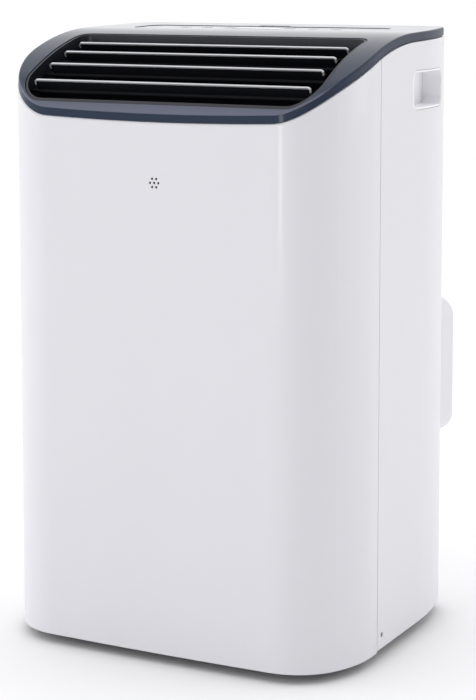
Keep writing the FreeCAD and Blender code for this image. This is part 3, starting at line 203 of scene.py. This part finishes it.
def polished_navy():
    """The glossy top cover, with a painted shade tint on the dull flanks and a painted highlight tint on the
    front lip.
    """
    navy = (0.014, 0.026, 0.052)
    made = Shader("navy_cover", navy, 0.08, Specular_IOR_Level=0.28)
    # The lip colour is a painted highlight and the side colour is a painted shade, both chosen by face
    # direction.
    made.paint_side_shade_and_lip_highlight(navy, side_shade=(0.013, 0.023, 0.050), lip_highlight=(0.12, 0.13, 0.18), gloss=(0.09, 0.13), dull=0.4)
    made.bevel(0.0006)
    return made.bump(made.noise(700.0, 2.0), 0.00003, 0.06).material


navy_cover = polished_navy()
liner = moulded("black_liner", (0.010, 0.011, 0.018), 0.42, 0.5, 0.0005, 0.1)
deep_black = moulded("duct_black", (0.004, 0.004, 0.006), 0.7, 0.6, 0.0005, 0.15)
blade_black = moulded("blade_black", (0.0022, 0.0026, 0.0045), 0.6, 0.6, 0.0004, 0.1,
                      Specular_IOR_Level=0.15)
panel_navy = moulded("panel_navy", (0.012, 0.018, 0.034), 0.1, 0.08, 0.0005, 0.04, 0.03,
                     Specular_IOR_Level=0.4)
key_face = moulded("key_face", (0.016, 0.022, 0.038), 0.14, 0.15, 0.0004, 0.04, 0.03,
                   Specular_IOR_Level=0.4)
inner_plastic = moulded("inner_plastic", (0.05, 0.05, 0.055), 0.5, 0.8, 0.0006, 0.1)
base_plastic = moulded("base_plastic", (0.30, 0.30, 0.31), 0.5, 0.9, 0.0008, 0.05)
caster_black = moulded("caster_nylon", (0.018, 0.018, 0.02), 0.42, 0.7, 0.0006, 0.12)
smoked = moulded("smoked_window", (0.006, 0.006, 0.008), 0.08, 0.02, 0.0004, 0.1, 0.02,
                 Coat_Weight=1.0, Coat_Roughness=0.03)


def silver():
    """Metallic lacquer on the blade edges, with fine flakes drawn out along the blade."""
    color = (0.62, 0.625, 0.645)
    made = Shader("silver_lacquer", color, 0.34, 0.55)
    made.tone(color, 0.05, 60.0, (0.15, 1.0, 1.0))
    made.gloss(0.28, 0.42, 300.0, (0.08, 1.0, 1.0))
    made.bevel(0.0005)
    return made.bump(made.noise(2600.0, 2.0), 0.00005, 0.25).material


def sheet_steel(name, color, rough):
    """Bare sheet metal with drawn-out rolling marks."""
    made = Shader(name, color, rough, 0.9)
    made.tone(color, 0.12, 35.0)
    made.gloss(rough - 0.08, rough + 0.12, 160.0, (0.1, 1.0, 1.0))
    made.bevel(0.0006)
    return made.bump(made.noise(500.0, 3.0, (0.06, 1.0, 1.0)), 0.0001, 0.3).material


def enamel():
    """Thick baked paint of the compressor shell."""
    color = (0.012, 0.012, 0.014)
    made = Shader("black_enamel", color, 0.25, 0.0, Coat_Weight=0.6, Coat_Roughness=0.12)
    made.tone(color, 0.25, 12.0)
    made.gloss(0.2, 0.36, 22.0)
    return made.bump(made.noise(260.0, 2.0), 0.0003, 0.25).material


def finned():
    """Coil block: bright aluminium fins a millimetre and a half apart, with painted shade in the gaps
    between them.
    """
    color = (0.62, 0.63, 0.64)
    made = Shader("coil_fins", color, 0.38, 0.85)
    fins = made.wave(105.0, "X")
    # The dark ramp stop is painted shade in the gaps between the fins.
    gap_shade = made.ramp(fins, [(0.15, (0.10, 0.10, 0.11)), (0.6, color)])
    made.link(gap_shade, made.bsdf.inputs["Base Color"])
    made.gloss(0.3, 0.5, 90.0)
    return made.bump(fins, 0.0006, 0.9).material


def copper():
    """Pipe copper with darker heat stains."""
    color = (0.70, 0.33, 0.19)
    made = Shader("bare_copper", color, 0.3, 1.0)
    stain = made.ramp(made.noise(70.0, 5.0), [(0.3, (0.32, 0.13, 0.08)), (0.62, color)])
    made.link(stain, made.bsdf.inputs["Base Color"])
    made.gloss(0.2, 0.48, 110.0)
    return made.bump(made.noise(600.0, 2.0), 0.0001, 0.2).material


def mesh_filter():
    """Woven nylon net: crossing threads a millimetre apart, with the openings between them painted
    near-black as shade.
    """
    made = Shader("filter_net", (0.10, 0.105, 0.11), 0.7)
    across, up = made.wave(150.0, "X"), made.wave(150.0, "Z")
    threads = made.combine(across, up, "MAXIMUM")
    # The near-black ramp stop is painted shade in the openings of the net.
    threads_and_gap_shade = made.ramp(threads, [(0.55, (0.012, 0.012, 0.013)), (0.85, (0.16, 0.165, 0.17))])
    made.link(threads_and_gap_shade, made.bsdf.inputs["Base Color"])
    made.gloss(0.6, 0.8, 400.0)
    return made.bump(threads, 0.0005, 0.9).material


def circuit_board():
    """Green lacquered board with a grid of tracks."""
    made = Shader("circuit_board", (0.02, 0.16, 0.07), 0.35, 0.0, Coat_Weight=0.4)
    cells = made.node("ShaderNodeTexVoronoi", feature="DISTANCE_TO_EDGE", distance="CHEBYCHEV")
    made.set(cells, "Scale", 260.0)
    made.link(made.place, cells.inputs["Vector"])
    traces = made.ramp(cells.outputs["Distance"], [(0.06, (0.03, 0.26, 0.11)), (0.10, (0.01, 0.10, 0.045))])
    made.link(traces, made.bsdf.inputs["Base Color"])
    made.gloss(0.25, 0.45, 120.0)
    return made.bump(cells.outputs["Distance"], 0.0002, 0.4).material


def rubber():
    """Dull black rubber of the drain plug and the compressor feet."""
    color = (0.016, 0.016, 0.017)
    made = Shader("moulded_rubber", color, 0.78)
    made.tone(color, 0.3, 40.0)
    made.gloss(0.65, 0.9, 120.0)
    return made.bump(made.noise(1300.0, 4.0), 0.0002, 0.7).material


def plated():
    """Zinc-plated screw heads."""
    color = (0.30, 0.30, 0.31)
    made = Shader("plated_screw", color, 0.42, 0.9)
    made.tone(color, 0.2, 400.0)
    made.gloss(0.3, 0.6, 700.0)
    return made.bump(made.noise(2400.0, 2.0), 0.00008, 0.4).material


silver_edge = silver()
steel = sheet_steel("zinc_sheet", (0.5, 0.5, 0.51), 0.4)
motor_grey = sheet_steel("motor_can", (0.34, 0.34, 0.35), 0.45)
enamel_black = enamel()
fins = finned()
copper_pipe = copper()
filter_net = mesh_filter()
board = circuit_board()
black_rubber = rubber()
screw = plated()

# Finish by the start of a node's name; the longest match counts.
FINISH = {
    "front_panel": white_shell, "rear_housing": white_shell, "exhaust_hood": white_shell,
    "intake_door": white_shell, "lower_grille": white_shell,
    "side_handle": recess_white_painted_light, "top_cover": navy_cover, "outlet_frame": liner,
    "outlet_guard": deep_black, "control_panel": panel_navy, "louvre_tie_bar": liner,
    "cord_gland": liner, "lower_drain_cap": liner, "louvre_blade": blade_black,
    "louvre_trim": silver_edge, "display_window": smoked, "remote_receiver_window": smoked,
    "air_filter": filter_net, "supply_blower_housing": deep_black, "supply_blower_wheel": inner_plastic,
    "exhaust_fan": inner_plastic, "mid_deck": inner_plastic, "front_sensor": inner_plastic,
    "base_pan": base_plastic, "supply_motor": motor_grey, "exhaust_motor": motor_grey,
    "louvre_motor": motor_grey, "electrical_box": steel, "compressor_grommets": black_rubber,
    "upper_drain_plug": black_rubber, "compressor": enamel_black, "evaporator": fins,
    "condenser": fins, "discharge_pipe": copper_pipe, "suction_pipe": copper_pipe,
    "liquid_line": copper_pipe, "control_board": board, "side_screws": screw, "caster": caster_black,
}
for name, obj in NODES.items():
    if name.endswith("_button"):
        finish = key_face
    else:
        finish = FINISH[max((key for key in FINISH if name.startswith(key)), key=len)]
    for slot in obj.material_slots:
        slot.material = finish

# ---------------------------------------------------------------- printed symbols on the keys
PANEL_SLOPE = math.radians(1.6)
STROKE = 0.00055
RAISED = 0.00012
SOFTENED = 0.00004


def printed_white():
    """Pad-printed ink, slightly uneven."""
    color = (0.62, 0.66, 0.70)
    made = Shader("printed_white", color, 0.5)
    made.tone(color, 0.06, 900.0)
    made.gloss(0.4, 0.6, 1500.0)
    return made.bump(made.noise(5000.0, 2.0), 0.00002, 0.3).material


print_ink = printed_white()


def arc_line(radius, start, end, steps=28):
    """Points of an arc round the key's middle, between two angles in degrees."""
    angles = [math.radians(start + (end - start) * step / steps) for step in range(steps + 1)]
    return [(radius * math.cos(angle), radius * math.sin(angle)) for angle in angles]


def spoke(reach, angle, start=0.0):
    """A straight line outwards from the key's middle."""
    turn = math.radians(angle)
    return [(length * math.cos(turn), length * math.sin(turn)) for length in (start, reach)]


def petal(angle, radius=0.0015):
    """One blade of the fan sign: an open loop beside the key's middle, turned by the angle."""
    turn = math.radians(angle)
    loop = [(radius + x, y) for x, y in arc_line(radius, 180, 20)]
    return [(x * math.cos(turn) - y * math.sin(turn), x * math.sin(turn) + y * math.cos(turn))
            for x, y in loop]


def rounded_end(point, other, half, steps=6):
    """Half circle past the end of a ribbon."""
    facing = math.atan2(point[1] - other[1], point[0] - other[0])
    turns = [facing + math.pi / 2 - math.pi * step / steps for step in range(1, steps)]
    return [(point[0] + half * math.cos(turn), point[1] + half * math.sin(turn)) for turn in turns]


def stroke(work, path, half):
    """One printed line: a ribbon round the path with rounded ends, given a small height."""
    left, right = [], []
    for index, (x, y) in enumerate(path):
        ahead, behind = path[min(index + 1, len(path) - 1)], path[max(index - 1, 0)]
        along = Vector((ahead[0] - behind[0], ahead[1] - behind[1])).normalized()
        left.append((x - along.y * half, y + along.x * half))
        right.append((x + along.y * half, y - along.x * half))
    last = rounded_end(path[-1], path[-2], half)
    first = rounded_end(path[0], path[1], half)
    outline = left + last + right[::-1] + first
    face = work.faces.new([work.verts.new((x, y, 0.0)) for x, y in outline])
    grown = bmesh.ops.extrude_face_region(work, geom=[face])["geom"]
    upper = [part for part in grown if isinstance(part, bmesh.types.BMVert)]
    bmesh.ops.translate(work, vec=(0, 0, RAISED), verts=upper)


BAR = [(-0.0024, 0.0), (0.0024, 0.0)]
UPRIGHT = [(0.0, -0.0024), (0.0, 0.0024)]
SYMBOLS = {
    "power_button": [arc_line(0.0024, 125, 415), spoke(0.0031, 90, 0.0008)],
    "mode_button": [spoke(0.0029, angle) for angle in range(0, 360, 60)],
    "timer_button": [arc_line(0.0028, 0, 350), spoke(0.0018, 90), spoke(0.0014, 0)],
    "fan_speed_button": [petal(angle) for angle in (0, 120, 240)],
    "temperature_down_button": [BAR],
    "temperature_up_button": [BAR, UPRIGHT],
}


def top_middle(key):
    """Middle of a key's sloping top face."""
    low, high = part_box(key)
    reach = (high[1] - low[1]) / 2
    return Vector(((low[0] + high[0]) / 2, (low[1] + high[1]) / 2, high[2] - reach * math.sin(PANEL_SLOPE)))


for key, paths in SYMBOLS.items():
    mesh = bpy.data.meshes.new(key + "_symbol")
    work = bmesh.new()
    for path in paths:
        stroke(work, path, STROKE / 2)
    bmesh.ops.recalc_face_normals(work, faces=work.faces)
    work.transform(Matrix.Translation(top_middle(key)) @ Matrix.Rotation(PANEL_SLOPE, 4, "X"))
    work.to_mesh(mesh)
    work.free()
    mesh.materials.append(print_ink)
    symbol = bpy.data.objects.new(key + "_symbol", mesh)
    SCENE.collection.objects.link(symbol)
    edge = symbol.modifiers.new("edge", "BEVEL")
    edge.width = SOFTENED
    edge.segments = 2
    edge.limit_method = "ANGLE"
    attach(symbol, key + "_key")

# ---------------------------------------------------------------- stage, light and camera
FLOOR_RADIUS = 60.0
AIM = (0.0, 0.0, 0.4)
SKY_STRENGTH = 1.2
DIM_DEPTH = 1.15
DIM_SHARPNESS = 3.0
DIM_AZIMUTH = math.radians(42)
DIM_HEIGHT = 0.12
CAMERA_PLACE = Vector((1.1222, CABINET_FRONT - 1.9348, 0.7905))
CAMERA_TURN = math.radians(27.55)
CAMERA_DIP = math.radians(6.46)
CAMERA_LENS = 103.97
CAMERA_SENSOR = 36.0
CAMERA_SHIFT = (-0.0087, -0.22)


def stage_floor():
    """Wide round floor, flat out to its far edge."""
    mesh = bpy.data.meshes.new("studio_floor")
    disc = bmesh.new()
    bmesh.ops.create_circle(disc, cap_ends=True, segments=96, radius=FLOOR_RADIUS)
    disc.to_mesh(mesh)
    disc.free()
    floor = bpy.data.objects.new("studio_floor", mesh)
    SCENE.collection.objects.link(floor)
    color = (0.95, 0.95, 0.95)
    paper = Shader("studio_paper", color, 0.8)
    paper.tone(color, 0.004, 1.5)
    paper.gloss(0.75, 0.9, 60.0)
    mesh.materials.append(paper.material)


def softbox(name, place, width, height, power):
    """A rectangular light turned to the middle of the cabinet."""
    light = bpy.data.lights.new(name, "AREA")
    light.shape = "RECTANGLE"
    light.size = width
    light.size_y = height
    light.energy = power
    lamp = bpy.data.objects.new(name, light)
    lamp.location = place
    lamp.rotation_euler = (Vector(AIM) - Vector(place)).to_track_quat("-Z", "Y").to_euler()
    SCENE.collection.objects.link(lamp)


stage_floor()
softbox("key_left", (-3.8, -1.2, 1.7), 2.2, 2.2, 14.0)
softbox("side_right", (3.2, 1.9, 1.4), 2.0, 2.2, 14.0)
softbox("front_strip", (-0.12, -3.6, 0.9), 0.4, 2.8, 15.0)

world = bpy.data.worlds.new("studio")
world.use_nodes = True
sky = world.node_tree
background = sky.nodes["Background"]
background.inputs["Color"].default_value = (0.985, 0.985, 1.0, 1.0)


def sky_node(kind, operation, *sources):
    """A maths node of the world, fed by sockets or plain numbers; gives the node back."""
    made = sky.nodes.new(kind)
    made.operation = operation
    for socket, source in zip(made.inputs, sources):
        if hasattr(source, "links"):
            sky.links.new(source, socket)
        else:
            socket.default_value = source
    return made


# The studio is white all round except for a dim lobe at the front right.
DIM_SIDE = (math.sin(DIM_AZIMUTH), -math.cos(DIM_AZIMUTH), DIM_HEIGHT)
around = sky.nodes.new("ShaderNodeTexCoord").outputs["Generated"]
toward = sky_node("ShaderNodeVectorMath", "DOT_PRODUCT", around, DIM_SIDE).outputs["Value"]
facing = sky_node("ShaderNodeMath", "MAXIMUM", toward, 0.0)
lobe = sky_node("ShaderNodeMath", "POWER", facing.outputs[0], DIM_SHARPNESS)
dimming = sky_node("ShaderNodeMath", "MULTIPLY", lobe.outputs[0], DIM_DEPTH)
strength = sky_node("ShaderNodeMath", "SUBTRACT", SKY_STRENGTH, dimming.outputs[0])
sky.links.new(strength.outputs[0], background.inputs["Strength"])
SCENE.world = world
SCENE.view_settings.view_transform = "Standard"

camera_data = bpy.data.cameras.new("camera")
camera_data.lens = CAMERA_LENS
camera_data.sensor_width = CAMERA_SENSOR
camera_data.shift_x, camera_data.shift_y = CAMERA_SHIFT
camera = bpy.data.objects.new("camera", camera_data)
camera.location = CAMERA_PLACE
camera.rotation_euler = (math.pi / 2 - CAMERA_DIP, 0.0, CAMERA_TURN)
SCENE.collection.objects.link(camera)
SCENE.camera = camera
